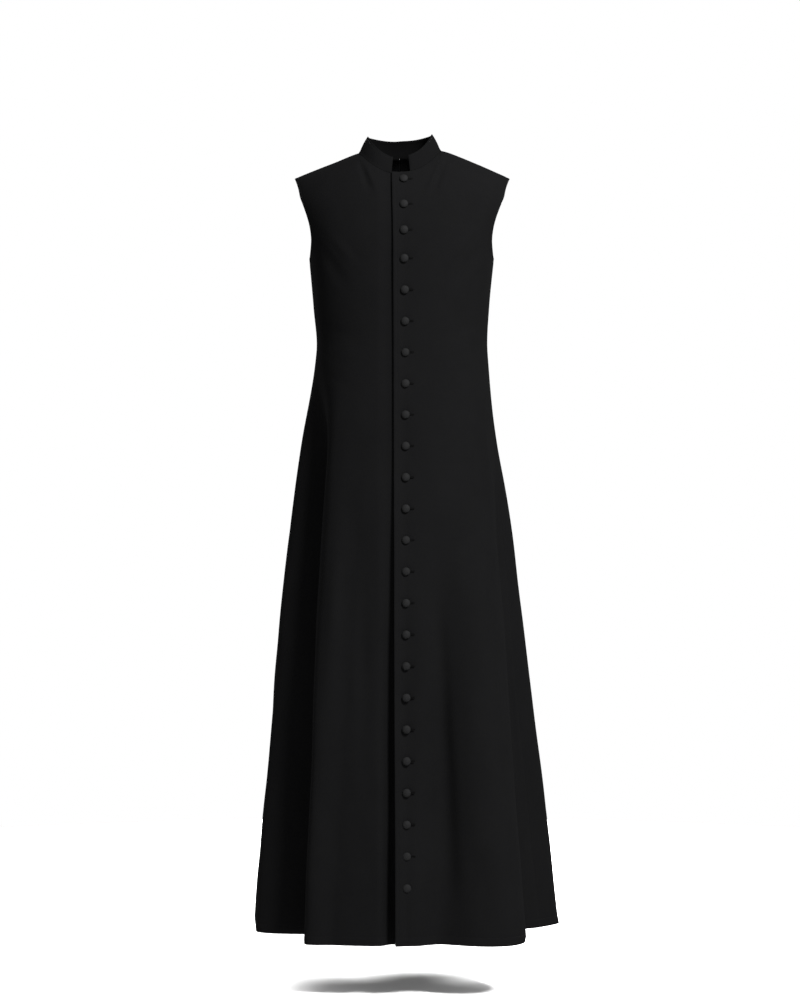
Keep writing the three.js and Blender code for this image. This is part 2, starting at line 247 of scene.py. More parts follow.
def shoulder_point(angle, over):
    """Above the underarms: over runs from 0 at their level to 90 at the shoulder seam."""
    plan_x, plan_y = plan_point(angle, UNDERARM_Z + 0 * over)
    chest = np.where(plan_x < 0, level_at(UNDERARM_Z, "right"), level_at(UNDERARM_Z, "left"))
    tip = np.where(plan_x < 0, SHOULDER["right_x"], SHOULDER["left_x"]) / chest
    x = plan_x * lerp(1, tip, smoothstep(over, 0, SHOULDER["spread_over"]))
    curve = np.where(plan_y < 0, CHEST_CURVE, BACK_CURVE)
    y = plan_y * np.abs(cosine(over)) ** curve
    z = lerp(UNDERARM_Z, shoulder_height(x), np.abs(sine(over)) ** curve)
    # carries the slope of the body on for a little way, so that no line shows at the underarms
    risen = z - UNDERARM_Z
    ease = 1 + UNDERARM_EASE["slope"] * risen * np.exp(-risen / UNDERARM_EASE["fade"])
    return np.stack([x * ease, y * ease, z], -1)


def unit(vectors):
    return vectors / np.linalg.norm(vectors, axis=-1, keepdims=True)


def surface_normal(surface, angle, height):
    step = 0.05
    across = surface(angle + step, height) - surface(angle - step, height)
    up = surface(angle, height + step) - surface(angle, height - step)
    return unit(np.cross(across, up))


def angle_at_x(x, z):
    half = np.where(x < 0, level_at(z, "right"), level_at(z, "left"))
    return np.sign(x) * np.degrees(np.arcsin((np.abs(x) / half) ** (level_at(z, "square") / 2)))


def lap_x(z):
    return lerp(LAP["top_x"], LAP["hem_x"], np.clip(z / HEM_Z, 0, 1))


def armhole_cut(over):
    return np.abs(sine(over)) ** ARMHOLE["roundness"] * cosine(over)


# ---- The cut pieces ----
# Column 0 is the edge at the centre front or back, column 1 the side seam and armhole
PIECES = {
    "front_left": dict(
        middle=0, side=1, reach=ARMHOLE["front_reach"], collar_end=COLLAR["left_end"],
        edges=lambda z: (angle_at_x(lap_x(z), z), 90), first_x=lap_x, shift=(0, -SEAM_GAP / 2)),
    "front_right": dict(
        middle=0, side=-1, reach=-ARMHOLE["front_reach"], collar_end=COLLAR["right_end"],
        edges=lambda z: (angle_at_x(LAP["under"] + 0 * z, z), -90),
        first_x=lambda z: LAP["under"] + 0 * z, shift=(0, -SEAM_GAP / 2)),
    "back_left": dict(
        middle=180, side=1, reach=-ARMHOLE["back_reach"],
        edges=lambda z: (180 + 0 * z, 90), shift=(SEAM_GAP / 2, SEAM_GAP / 2)),
    "back_right": dict(
        middle=180, side=-1, reach=ARMHOLE["back_reach"],
        edges=lambda z: (180 + 0 * z, 270), shift=(-SEAM_GAP / 2, SEAM_GAP / 2)),
}


def angle_on(piece, column, z, over):
    start, end = piece["edges"](z)
    return lerp(start, end, column) - piece["reach"] * armhole_cut(over) * column ** 3


def crossing(low, high, holds, halvings=40):
    """Where a condition that holds at the low numbers stops holding."""
    for _ in range(halvings):
        middle = (low + high) / 2
        held = holds(middle)
        low, high = np.where(held, middle, low), np.where(held, high, middle)
    return high


def yoke_point(piece, column, over):
    """A point above the underarms on a column of a piece."""
    return shoulder_point(angle_on(piece, column, np.full_like(column, UNDERARM_Z), over), over)


def top_of_column(piece, column):
    """How far over the shoulder a column reaches: to the seam, or to the neck's ring."""
    depth = NECK["back"] if piece["middle"] == 180 else NECK["front"]

    def inside_body(over):
        point = yoke_point(piece, column, over)
        out_x, out_y = np.abs(point[..., 0] / SHOULDER["neck_x"]), np.abs(point[..., 1] / depth)
        return out_x ** NECK["square"] + out_y ** NECK["square"] >= 1

    full = np.full_like(column, 90.0)
    reached = crossing(0 * column, full, inside_body)
    return np.where(inside_body(full), full, reached)


def neck_corner(piece):
    """The column that runs to the corner between the neck and the shoulder seam."""
    def beside_neck(column):
        at_seam = yoke_point(piece, column, np.full_like(column, 90.0))
        return np.abs(at_seam[..., 0]) < SHOULDER["neck_x"]

    return float(crossing(np.array(0.0), np.array(0.5), beside_neck))


def sunk(piece, points):
    """How far the under front lies behind the lap."""
    if piece is not PIECES["front_right"]:
        return 0 * points[..., 0]
    x, z = points[..., 0], points[..., 2]
    fallen = np.clip((FALL_BACK["top"] - z) / (FALL_BACK["top"] - HEM_Z), 0, 1)
    return (LAP["sink"] * smoothstep(x, LAP["sink_start"], LAP["sink_end"])
            + FALL_BACK["depth"] * fallen * smoothstep(x, FALL_BACK["start"], FALL_BACK["end"]))


def robe_surface(angle, z, over, normal_angle):
    """Points and normals of the robe: by their height up to the underarms, by their over above."""
    on_body = (over <= 0)[..., None]
    low_z = np.minimum(z, UNDERARM_Z)
    high_normal = surface_normal(shoulder_point, normal_angle, np.clip(over, 1, STEADY))
    high_point = shoulder_point(angle, np.maximum(over, 0))
    return (np.where(on_body, skirt_point(angle, low_z), high_point),
            np.where(on_body, surface_normal(skirt_point, angle, low_z), high_normal))


def wall_points(piece, column, z, over):
    """Outer points of the cloth and their normals, for grids of columns, heights and overs."""
    angle = angle_on(piece, column, z, over)
    steady = np.clip(angle, piece["middle"] - STEADY, piece["middle"] + STEADY)
    points, normals = robe_surface(angle, z, over, steady)
    upright = np.where((over >= AT_SEAM)[..., None], [1, 0, 1], [1, 1, 1])
    normals = unit(normals * upright)
    points = points - normals * sunk(piece, points)[..., None]
    return points + np.array([*piece["shift"], 0]), normals


# ---- Small form on the cloth ----
def unevenness(points):
    """Gentle unevenness of worn cloth: longer down the skirt than across it."""
    rng = np.random.default_rng(UNEVEN["seed"])
    total = 0
    for row in WAVES:
        wave = dict(zip(WAVE_NAMES, row))
        for _ in range(UNEVEN["sets"]):
            turn, phase = rng.uniform(0, 2 * math.pi, 2)
            tilt = rng.uniform(-UNEVEN["tilt"], UNEVEN["tilt"])
            direction = np.array([math.cos(turn), math.sin(turn), tilt])
            steps = points @ (direction * 2 * math.pi / wave["length"])
            total = total + wave["height"] * np.sin(steps + phase)
    skirt = smoothstep(-points[..., 2], -UNEVEN["waist_z"], -UNEVEN["hip_z"])
    return total * lerp(UNEVEN["on_chest"], UNEVEN["on_skirt"], skirt)


def crease_height(piece, points):
    side = "back" if piece["middle"] == 180 else "front"
    x, z = points[..., 0], points[..., 2]
    total = 0 * x
    for row in CREASES:
        crease = dict(zip(CREASE_NAMES, row))
        if crease["side"] != side:
            continue
        along_x, along_z = crease["x1"] - crease["x0"], crease["z1"] - crease["z0"]
        length = math.hypot(along_x, along_z)
        share = ((x - crease["x0"]) * along_x + (z - crease["z0"]) * along_z) / length**2
        across = np.abs((x - crease["x0"]) * along_z - (z - crease["z0"]) * along_x) / length
        widths = CREASE_ENDS["first_width"], CREASE_ENDS["last_width"]
        width = crease["width"] * lerp(*widths, np.clip(share, 0, 1))
        ends = np.minimum(share, 1 - share) * CREASE_ENDS["slope"] + CREASE_ENDS["least"]
        profile = np.where(across < width, cosine(90 * np.minimum(across / width, 1)) ** 2, 0)
        total += crease["height"] * profile * smoothstep(ends, 0, 1)
    return total


def button_x(z):
    upper = lerp(BUTTON_LINE["top_x"], BUTTON_LINE["waist_x"], z / BUTTON_LINE["waist_z"])
    down = (z - BUTTON_LINE["waist_z"]) / (HEM_Z - BUTTON_LINE["waist_z"])
    lower = lerp(BUTTON_LINE["waist_x"], BUTTON_LINE["hem_x"], down)
    return np.where(z > BUTTON_LINE["waist_z"], upper, lower)


def button_heights():
    upper = BUTTON_ROWS["upper_count"]
    gaps = ([BUTTON_ROWS["upper_gap"]] * (upper - 1) + [BUTTON_ROWS["middle_gap"]]
            + [BUTTON_ROWS["lower_gap"]] * (BUTTON_ROWS["count"] - 1 - upper))
    return BUTTON_ROWS["top_z"] - np.cumsum([0, *gaps])


def front_place(x, z):
    """A point of the smooth front surface at an X and a height, and its normal."""
    angle = angle_at_x(x, z)
    over = crossing(0 * z, 90 + 0 * z, lambda tried: shoulder_point(angle, tried)[..., 2] < z)
    points, normals = robe_surface(angle, z, np.where(z <= UNDERARM_Z, 0, over), angle)
    return points + np.array([0, -SEAM_GAP / 2, 0]), normals


BUTTON_Z = button_heights()
BUTTON_POINTS, BUTTON_NORMALS = front_place(button_x(BUTTON_Z), BUTTON_Z)


def button_dents(points):
    """The lap is drawn in under each button, and parted at its buttonhole."""
    total = 0 * points[..., 0]
    for centre in BUTTON_POINTS:
        x, z = points[..., 0] - centre[0], points[..., 2] - centre[2]
        total -= DENT["depth"] * np.exp(-(x**2 + z**2) / DENT["radius"] ** 2)
        in_hole = smoothstep(x, *PARTED["start"]) * (1 - smoothstep(x, *PARTED["end"]))
        total -= PARTED["depth"] * in_hole * np.exp(-(z / PARTED["half_height"]) ** 2)
        off_line = (z + PULL["slope"] * (x - PULL["level_x"])) / PULL["half_height"]
        total -= PULL["depth"] * np.exp(-off_line**2) * smoothstep(-x, *PULL["start"])
    return total


def edge_distance(points, *edges, reach=40.0, spacing=0.5):
    """Distance from each point to the nearest of some lines of edge points, up to a reach."""
    parts = []
    for edge in edges:
        parts.append(edge[:1])
        for a, b in zip(edge[:-1], edge[1:]):
            count = max(1, math.ceil(np.linalg.norm(b - a) / spacing))
            parts.append(a + (b - a) * (np.arange(1, count + 1) / count)[:, None])
    samples = np.concatenate(parts)
    tree = KDTree(len(samples))
    for i, sample in enumerate(samples):
        tree.insert(sample, i)
    tree.balance()
    flat = points.reshape(-1, 3)
    near = np.full(len(flat), reach)
    low, high = samples.min(0) - reach, samples.max(0) + reach
    for i in np.nonzero(((flat > low) & (flat < high)).all(1))[0]:
        near[i] = min(tree.find(flat[i])[2], reach)
    return near.reshape(points.shape[:-1])


# ---- Grids of the panels ----
ROUND = [0, 0.15, 0.4, 0.75, 1.1]           # steps round an edge
LAP_STEPS = ROUND + [2.2, 3.8, 5.4, 6.3, 7.0, 7.7, 8.8] + list(np.arange(10.5, 45, 2.0))
HEM_STEPS = ROUND + [3, 6, 9, 12, 14.0, 15, 16.0, 18.5, 22]
ARM_STEPS = ROUND + [2.4, 4.0, 5.2, 6.0, 6.8, 8.2, 10.5]
BACK_STEPS = ROUND + [2.4, 4]
BODY_ROWS = 188
OVER_STARTS = [0.0008, 0.002, 0.004, 0.008, 0.013, 0.02, 0.029, 0.04, 0.054]    # shares of the way
OVER_ROWS = 46
OVER_LAST = 0.9791
OVER_LENGTH = 190           # from the underarms to the shoulder seam
COLUMNS = dict(front=13, back=26, side=62)      # up to the neck's corner, and from there outwards


def panel_rows():
    """Heights and shares over the shoulder of the rows, from the hem up."""
    body = [HEM_Z + step for step in HEM_STEPS]
    body += list(np.linspace(body[-1], UNDERARM_Z, BODY_ROWS)[1:])
    shares = OVER_STARTS + list(np.linspace(OVER_STARTS[-1], OVER_LAST, OVER_ROWS)[1:])
    shares += [1 - step / OVER_LENGTH for step in reversed(ROUND)]
    z = np.concatenate([body, lerp(UNDERARM_Z, 0, np.array(shares))])
    share = np.concatenate([np.zeros(len(body)), shares])
    return z, share


def panel_columns(piece, z, share):
    """Column values for each row: by millimetres at the edges, even between them."""
    def width_of(start):
        zz, cc = np.meshgrid(z, np.linspace(start, 1, 60), indexing="ij")
        points, _ = wall_points(piece, cc, zz, top_of_column(piece, cc) * share[:, None])
        return np.linalg.norm(np.diff(points, axis=1), axis=2).sum(1)[:, None]

    corner = neck_corner(piece)
    if "first_x" in piece:
        start, end = piece["edges"](z)
        x = piece["first_x"](z)[:, None] + piece["side"] * np.array(LAP_STEPS)
        first = (angle_at_x(x, z[:, None]) - start[:, None]) / (end - start[:, None])
        towards_corner = COLUMNS["front"]
    else:
        first = np.array(BACK_STEPS)[None] / width_of(0.0)
        towards_corner = COLUMNS["back"]
    middle = lerp(first[:, -1:], corner, np.linspace(0, 1, towards_corner + 1)[None, 1:])
    arm = 1 - np.array(ARM_STEPS[::-1])[None] / (width_of(corner) / (1 - corner))
    beyond = lerp(corner, arm[:, :1], np.linspace(0, 1, COLUMNS["side"])[None, 1:-1])
    return np.concatenate([first, middle, beyond, arm], 1)


def linked(name, data):
    obj = bpy.data.objects.new(name, data)
    bpy.context.collection.objects.link(obj)
    return obj


def small_mesh(name, vertices, edges=(), faces=()):
    """A mesh object from short lists, its points in millimetres."""
    mesh = bpy.data.meshes.new(name)
    mesh.from_pydata([tuple(point) for point in np.asarray(vertices) * MM], edges, faces)
    return linked(name, mesh)


def mesh_object(name, vertices, faces, flat_map):
    """A mesh from points in millimetres and quads, smooth, with its cut laid flat as the UV map."""
    mesh = bpy.data.meshes.new(name)
    mesh.vertices.add(len(vertices))
    mesh.vertices.foreach_set("co", (vertices * MM).astype(np.float32).ravel())
    mesh.loops.add(faces.size)
    mesh.loops.foreach_set("vertex_index", faces.astype(np.int32).ravel())
    mesh.polygons.add(len(faces))
    starts = np.arange(0, faces.size, faces.shape[1], dtype=np.int32)
    mesh.polygons.foreach_set("loop_start", starts)
    mesh.update(calc_edges=True)
    mesh.validate()
    mesh.polygons.foreach_set("use_smooth", np.ones(len(mesh.polygons), bool))
    layer = mesh.uv_layers.new(name="cut")
    corners = np.zeros(len(mesh.loops), np.int32)
    mesh.loops.foreach_get("vertex_index", corners)
    layer.data.foreach_set("uv", (flat_map[corners] * MM).astype(np.float32).ravel())
    return linked(name, mesh)


def wall_object(name, outer, inner, flat_map):
    """A closed wall: two grids that share the points round their border."""
    rows, across = outer.shape[:2]
    index = np.arange(rows * across).reshape(rows, across)
    within = np.zeros((rows, across), bool)
    within[1:-1, 1:-1] = True
    back = index.copy()
    back[within] = rows * across + np.arange(within.sum())
    vertices = np.concatenate([outer.reshape(-1, 3), inner[within]])
    flat = np.concatenate([flat_map.reshape(-1, 2), flat_map[within]])

    def quads(grid):
        corners = grid[:-1, :-1], grid[:-1, 1:], grid[1:, 1:], grid[1:, :-1]
        return np.stack(corners, -1).reshape(-1, 4)

    facing = np.cross(outer[0, 1] - outer[0, 0], outer[1, 0] - outer[0, 0])
    if facing @ (outer[2, 2] - inner[2, 2]) < 0:
        faces = np.concatenate([quads(index)[:, ::-1], quads(back)])
    else:
        faces = np.concatenate([quads(index), quads(back)[:, ::-1]])
    return mesh_object(name, vertices, faces, flat)


def rounded(distance, radius, depth=None):
    """How far a rounded edge lies under the face, at a distance from the edge."""
    near = np.clip(1 - distance / radius, 0, 1)
    return (depth or radius) * (1 - np.sqrt(1 - near**2))


def shell(points, normals, relief, thickness, under, radius):
    """The outer and the inner grid of a cloth wall, which meet round its border."""
    outer = points + normals * (relief - under)[..., None]
    inner = points + normals * (relief - thickness + under)[..., None]
    border = np.zeros(relief.shape, bool)
    border[[0, -1]] = border[:, [0, -1]] = True
    outer[border] = inner[border] = (points - normals * radius)[border]
    return outer, inner


def pucker(distance, stitch, depth, width, puff):
    """A row of stitches draws the cloth in, and the turning stands up between it and the edge."""
    drawn = depth * np.exp(-((distance - stitch) / width) ** 2)
    return puff * np.sin(np.pi * np.clip(distance / stitch, 0, 1)) - drawn


def raise_hem(points):
    beside = smoothstep(points[..., 1], HEM_RISE["front_y"], HEM_RISE["side_y"])
    low = smoothstep(-points[..., 2], -HEM_RISE["top_z"], -HEM_Z)
    points[..., 2] += HEM_RISE["height"] * beside * low


def lap_lift(points):
    inside = points[..., 0] - lap_x(points[..., 2])
    height = lerp(LAP_LIFT["top"], LAP_LIFT["hem"], np.clip(points[..., 2] / HEM_Z, 0, 1))
    return height * (1 - smoothstep(inside, LAP_LIFT["flat"], LAP_LIFT["fade"]))


def running_length(points, axis):
    """Length along the rows or the columns of a grid, from its first point."""
    lengths = np.linalg.norm(np.diff(points, axis=axis), axis=2)
    return np.insert(np.cumsum(lengths, axis), 0, 0, axis)


PANELS = {}


def make_panel(name):
    """One cut piece of cloth, its edges turned and stitched, kept in PANELS for the sewing."""
    piece = PIECES[name]
    front = piece["middle"] == 0
    z, share = panel_rows()
    column = panel_columns(piece, z, share)
    top = top_of_column(piece, column)
    points, normals = wall_points(piece, column, z[:, None] + 0 * column, top * share[:, None])
    raise_hem(points)
    if name == "front_left":
        points = points + normals * lap_lift(points)[..., None]

    arm_start = int(np.argmax(share > 0)) - 1
    on_neck = top[-1] < AT_SEAM
    hem, armhole, middle = points[0], points[arm_start:, -1], points[:, 0]
    turned_edges = [hem, armhole, points[-1][on_neck]]
    seam_edges = [points[:arm_start + 1, -1], points[-1][~on_neck]]
    (turned_edges if front else seam_edges).append(middle)
    turned, seam = edge_distance(points, *turned_edges), edge_distance(points, *seam_edges)
    edge = np.minimum(turned, seam)

    relief = unevenness(points) + crease_height(piece, points)
    relief = relief * lerp(CALM_EDGE["share"], 1, smoothstep(edge, 0, CALM_EDGE["width"]))
    relief += pucker(edge_distance(points, hem), **HEM_PUCKER)
    relief += pucker(edge_distance(points, armhole), **ARMHOLE_PUCKER)
    if front:
        relief += pucker(edge_distance(points, middle), **EDGE_PUCKER)
    if name == "front_left":
        relief += button_dents(points)
    relief -= SEAM_SINK["depth"] * np.exp(-(seam / SEAM_SINK["width"]) ** 2)
    relief = relief * smoothstep(edge, *FLAT_EDGE)

    thickness = lerp(TURNED, CLOTH, smoothstep(turned, *TURNING))
    thickness = lerp(TURNED, thickness, smoothstep(seam, *SEAM_TURNING))
    radius = TURNED / 2
    under = np.maximum(rounded(turned, radius), rounded(seam, SEAM_ROUND, radius))
    outer, inner = shell(points, normals, relief, thickness, under, radius)
    across, up = running_length(points, 1) * piece["side"], running_length(points, 0)
    obj = wall_object(name + "_cloth", outer, inner, np.stack([across, up], -1))
    PANELS[name] = dict(obj=obj, outer=outer, normals=normals, arm_start=arm_start)
    return obj


# ---- Collar ----
def neckline():
    """The line on which the collar stands, from its left end round the back to its right end."""
    lines = {}
    for name, piece in PIECES.items():
        def point_at(column, piece=piece):
            points, normals = wall_points(piece, column, 0 * column, top_of_column(piece, column))
            return np.concatenate([points, normals], -1)

        corner, first = neck_corner(piece), 0.0
        if "collar_end" in piece:
            end, side = piece["collar_end"], np.sign(piece["collar_end"])
            first = float(crossing(np.array(0.0), np.array(corner),
                                   lambda column: point_at(column)[..., 0] * side < end * side))
        lines[name] = point_at(lerp(first, corner, sine(90 * np.linspace(0, 1, 60))))
    line = np.concatenate([
        lines["front_left"], lines["back_left"][-2:0:-1], lines["back_right"][:-1],
        lines["front_right"][::-1],
    ])
    lengths = np.linalg.norm(np.diff(line[:, :3], axis=0), axis=1)
    steps = np.concatenate([[0], np.cumsum(lengths)])
    inside = np.linspace(3, steps[-1] - 3, int(steps[-1] / COLLAR["step"]))
    where = np.concatenate([ROUND, inside, steps[-1] - np.array(ROUND[::-1])])
    spaced = np.stack([np.interp(where, steps, line[:, k]) for k in range(6)], -1)
    return spaced[:, :3], unit(spaced[:, 3:]), where


def make_collar():
    """A stand band that leans in, its foot on the neck's edge, with a slight swell."""
    seam_line, under_normal, where = neckline()
    smooth = seam_line.copy()
    for _ in range(COLLAR["evenings"]):
        smooth[1:-1] = smooth[1:-1] * 0.5 + (smooth[:-2] + smooth[2:]) * 0.25
    from_end = np.minimum(where, where[-1] - where)
    line = lerp(seam_line, smooth, smoothstep(from_end, 0, 12)[:, None])
    inward = unit(-line * np.array([1, 1, 0]))
    lean, height, radius = COLLAR["lean"], COLLAR["height"], COLLAR["thickness"] / 2
    rise = inward * sine(lean) + np.array([0, 0, cosine(lean)])
    normal = np.array([0, 0, sine(lean)]) - inward * cosine(lean)
    ups = np.array(ROUND + [2.2, 3.6, 5] + list(np.linspace(7, height - 9, 9))
                   + [height - step for step in (6.5, 5, 4, 3, 2, *ROUND[::-1])])
    up = ups[:, None]
    points = (line + rise * COLLAR["stand_off"])[None] + rise[None] * up[..., None]
    foot = seam_line - under_normal * TURNED / 2 - rise * COLLAR["sunk"] + normal * radius
    on_foot = 1 - smoothstep(up, 0, 5)[..., None]
    points = lerp(points, foot[None] + rise[None] * up[..., None], on_foot)

    ends, around = from_end[None] + 0 * up, where[None] + 0 * up
    stitch = np.minimum(ends, height - up)
    edge = np.minimum(stitch, up)
    relief = 0.35 * np.sin(around / 37 + 0.6) + 0.2 * np.sin(around / 19 + up / 16)
    relief = relief + COLLAR["swell"] * sine(180 * up / height)
    relief = (relief + pucker(stitch, **COLLAR_PUCKER)) * smoothstep(edge, -0.2, 3)
    under = rounded(edge, radius)
    outer, inner = shell(points, normal[None], relief, 2 * radius, under, radius)
    obj = wall_object("stand_collar", outer, inner, np.stack([around, up + 0 * around], -1))
    return obj, outer, normal, ups


# ---- Materials ----
def feed(tree, socket, value):
    """Links another node's socket to an input, or sets the input to a plain value."""
    if isinstance(value, bpy.types.NodeSocket):
        tree.links.new(value, socket)
    else:
        socket.default_value = value


def node(tree, kind, inputs=(), **settings):
    made = tree.nodes.new(kind)
    for key, value in settings.items():
        setattr(made, key, value)
    for key, value in dict(inputs).items():
        feed(tree, made.inputs[key], value)
    return made


class Nodes:
    """A material's tree, built node by node."""

    def __init__(self, name):
        self.material = bpy.data.materials.new(name)
        self.material.use_nodes = True
        self.tree = self.material.node_tree
        self.tree.nodes.clear()
        self.shader = self.add("BsdfPrincipled")
        self.add("OutputMaterial", {"Surface": self.shader.outputs[0]})
        self.coordinates = self.add("TexCoord")

    def add(self, kind, inputs=(), **settings):
        return node(self.tree, "ShaderNode" + kind, inputs, **settings)

    def noise(self, place, scale, detail, roughness=0.5):
        return self.add("TexNoise", {"Vector": self.coordinates.outputs[place], "Scale": scale,
                                     "Detail": detail, "Roughness": roughness}).outputs["Fac"]

    def weighted(self, *pairs):
        """The sum of some values, each times its weight."""
        total = None
        for value, weight in pairs:
            part = self.add("Math", {0: value, 1: weight}, operation="MULTIPLY").outputs[0]
            total = part if total is None else self.plus(total, part)
        return total

    def plus(self, a, b):
        return self.add("Math", {0: a, 1: b}, operation="ADD").outputs[0]

    def between(self, factor, dark, light):
        ends = {0: factor, 6: [*dark, 1], 7: [*light, 1]}
        return self.add("Mix", ends, data_type="RGBA").outputs[2]

    def shade(self, **values):
        for key, value in values.items():
            feed(self.tree, self.shader.inputs[key.replace("_", " ")], value)


def twill(name, tone, sheen=0.001, gloss=0.0, place="UV"):
    """Matt black twill: fine diagonal ribs, a little lint and uneven wear."""
    nodes = Nodes(name)
    ribs = nodes.add("TexWave", {
        "Vector": nodes.coordinates.outputs[place], "Scale": 620.0, "Distortion": 0.6,
        "Detail": 2.0, "Detail Scale": 1.5,
    }, wave_type="BANDS", bands_direction="DIAGONAL").outputs["Fac"]
    yarns = nodes.noise(place, 1500.0, 3.0)
    wear = nodes.noise("Object", 7.0, 4.0, 0.6)
    patches = nodes.noise("Object", 42.0, 5.0, 0.65)
    shade = nodes.weighted((ribs, 0.34), (yarns, 0.22), (wear, 0.34), (patches, 0.16))
    tone = np.array(tone)
    bump = nodes.add("Bump", {"Strength": 0.35, "Distance": 0.00025,
                              "Height": nodes.weighted((ribs, 0.6), (yarns, 0.4))})
    nodes.shade(Base_Color=nodes.between(nodes.plus(shade, -0.03), tone * 0.62, tone * 1.38),
                Roughness=nodes.plus(nodes.weighted((patches, 0.16)), 0.66),
                Normal=bump.outputs[0], Sheen_Weight=sheen, Sheen_Roughness=0.45,
                Specular_IOR_Level=gloss)
    return nodes.material


def thread(name, tone):
    nodes = Nodes(name)
    strands = nodes.noise("Object", 2600.0, 2.0)
    tone = np.array(tone)
    bump = nodes.add("Bump", {"Strength": 0.3, "Distance": 0.0001, "Height": strands})
    nodes.shade(Base_Color=nodes.between(strands, tone * 0.7, tone * 1.3), Roughness=0.6,
                Normal=bump.outputs[0], Sheen_Weight=0.002, Specular_IOR_Level=0.012)
    return nodes.material


# ---- Sewing, made with Geometry Nodes ----
def new_tree(name, sockets):
    tree = bpy.data.node_groups.new(name, "GeometryNodeTree")
    tree.interface.new_socket("Geometry", in_out="INPUT", socket_type="NodeSocketGeometry")
    ids = {}
    for label, kind in sockets.items():
        socket = tree.interface.new_socket(label, in_out="INPUT", socket_type="NodeSocket" + kind)
        ids[label] = socket.identifier
    tree.interface.new_socket("Geometry", in_out="OUTPUT", socket_type="NodeSocketGeometry")
    return tree, tree.nodes.new("NodeGroupInput").outputs, ids


def random_between(tree, low, high, seed):
    inputs = {2: low, 3: high, "Seed": seed}
    return node(tree, "FunctionNodeRandomValue", inputs, data_type="FLOAT").outputs[1]


def less(tree, value, taken):
    return node(tree, "ShaderNodeMath", {0: value, 1: taken}, operation="SUBTRACT").outputs[0]


def place_copies(tree, points, copy, turn, size, material):
    """Ends a tree: a copy of an object on each point, made real and given its material."""
    source = node(tree, "GeometryNodeObjectInfo", {"Object": copy})
    placed = node(tree, "GeometryNodeInstanceOnPoints", {
        "Points": points, "Instance": source.outputs["Geometry"], "Rotation": turn, "Scale": size})
    real = node(tree, "GeometryNodeRealizeInstances", {"Geometry": placed.outputs[0]})
    painted = node(tree, "GeometryNodeSetMaterial", {"Geometry": real.outputs[0],
                                                     "Material": material})
    node(tree, "NodeGroupOutput", {0: painted.outputs[0]})


def stitch_tree():
    """Stitches at an even pitch along each line of a mesh of edges, with a little hand in them."""
    tree, given, ids = new_tree("stitches_along_lines", dict(
        Stitch="Object", Pitch="Float", Uneven="Float", Seed="Int", Material="Material"))
    curve = node(tree, "GeometryNodeMeshToCurve", {"Mesh": given["Geometry"]})
    even = node(tree, "GeometryNodeResampleCurve", {
        "Curve": curve.outputs[0], "Length": given["Pitch"]}, mode="LENGTH")
    tangent = node(tree, "GeometryNodeInputTangent")
    turn = node(tree, "FunctionNodeAlignRotationToVector", {"Vector": tangent.outputs[0]}, axis="X")
    most = node(tree, "ShaderNodeMath", {0: 1.0, 1: given["Uneven"]}, operation="ADD")
    size = random_between(tree, less(tree, 1.0, given["Uneven"]), most.outputs[0], given["Seed"])
    place_copies(tree, even.outputs[0], given["Stitch"], turn.outputs[0], size, given["Material"])
    return tree, ids


def place_tree():
    """One copy of an object on each point, its Z along the point's facing."""
    tree, given, ids = new_tree("copies_on_places", dict(
        Copy="Object", Turn="Float", Uneven="Float", Seed="Int", Material="Material"))
    facing = node(tree, "GeometryNodeInputNamedAttribute", {"Name": "facing"},
                  data_type="FLOAT_VECTOR")
    face = node(tree, "FunctionNodeAlignRotationToVector", {"Vector": facing.outputs[0]},
                axis="Z", pivot_axis="X")
    spin = random_between(tree, less(tree, 0.0, given["Turn"]), given["Turn"], given["Seed"])
    about = node(tree, "ShaderNodeCombineXYZ", {"Z": spin})
    euler = node(tree, "FunctionNodeEulerToRotation", {0: about.outputs[0]})
    turned = node(tree, "FunctionNodeRotateRotation", {
        "Rotation": face.outputs[0], "Rotate By": euler.outputs[0]}, rotation_space="LOCAL")
    size = random_between(tree, less(tree, 1.0, given["Uneven"]), 1.0, given["Seed"])
    place_copies(tree, given["Geometry"], given["Copy"], turned.outputs[0], size, given["Material"])
    return tree, ids


def grown(name, carrier, tree_and_ids, helper, **values):
    """Runs a tree on a carrier and keeps the result as a plain mesh."""
    tree, ids = tree_and_ids
    modifier = carrier.modifiers.new("sewing", "NODES")
    modifier.node_group = tree
    for label, value in values.items():
        modifier[ids[label]] = value
    depsgraph = bpy.context.evaluated_depsgraph_get()
    depsgraph.update()
    mesh = bpy.data.meshes.new_from_object(carrier.evaluated_get(depsgraph))
    carrier.modifiers.remove(modifier)
    mesh.name = name
    mesh.polygons.foreach_set("use_smooth", np.ones(len(mesh.polygons), bool))
    for spent in (carrier, helper):
        bpy.data.objects.remove(spent)
    return linked(name, mesh)


def line_carrier(name, lines):
    """A mesh of edges: one open line for each list of points."""
    edges, first = [], 0
    for line in lines:
        edges += [(i, i + 1) for i in range(first, first + len(line) - 1)]
        first += len(line)
    return small_mesh(name, np.concatenate(lines), edges)


def place_carrier(name, points, facing):
    obj = small_mesh(name, points)
    attribute = obj.data.attributes.new("facing", "FLOAT_VECTOR", "POINT")
    attribute.data.foreach_set("vector", np.asarray(facing, np.float32).ravel())
    return obj


